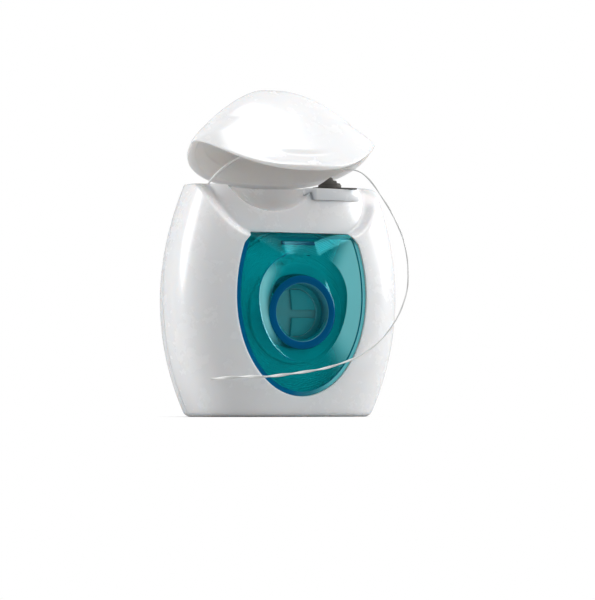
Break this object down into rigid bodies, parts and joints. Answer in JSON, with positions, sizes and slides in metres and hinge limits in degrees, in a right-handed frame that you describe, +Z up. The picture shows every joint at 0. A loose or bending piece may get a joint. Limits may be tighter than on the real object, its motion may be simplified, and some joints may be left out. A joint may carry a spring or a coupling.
{
  "type": "dental floss dispenser",
  "caption": "Egg-shaped pocket dental floss dispenser with a hinged flip lid standing open, a cutter on its deck, a clear window over the spool and a loose end of floss.",
  "frame": {"origin": "centre of the flat base, on the surface that the dispenser stands on", "axes": "+Z up, the window and the lid's free edge face -Y, the lid hinges at +Y, and the cutter is on the +X side of the deck"},
  "size_m": [0.0454, 0.0251, 0.0606],
  "materials": {
    "white_gloss": "glossy moulded white",
    "teal_clear": "clear moulded teal",
    "cutter_steel": "dark rolled sheet",
    "core_white": "moulded",
    "floss": "waxed filament"
  },
  "bodies": {
    "body": {"front_shell": "white_gloss", "rear_shell": "white_gloss", "living_hinge": "white_gloss", "window": "teal_clear", "cutter": "cutter_steel", "floss_feed": "floss", "floss_loop": "floss", "floss_tail": "floss"},
    "lid": {"lid": "white_gloss"},
    "spool": {"spool_core": "core_white", "floss_inner_turns": "floss", "floss_outer_turns": "floss"}
  },
  "joints": [
    {"name": "lid_hinge", "type": "hinge", "parent": "body", "child": "lid", "pos_m": [0, 0.00668, 0.0421], "axis": [-1, 0, 0], "range_deg": [-38.4, 75], "deforming": ["living_hinge", "floss_loop"]},
    {"name": "spool_spin", "type": "hinge", "parent": "body", "child": "spool", "pos_m": [0, 0, 0.0191], "axis": [0, 1, 0], "continuous": true}
  ]
}
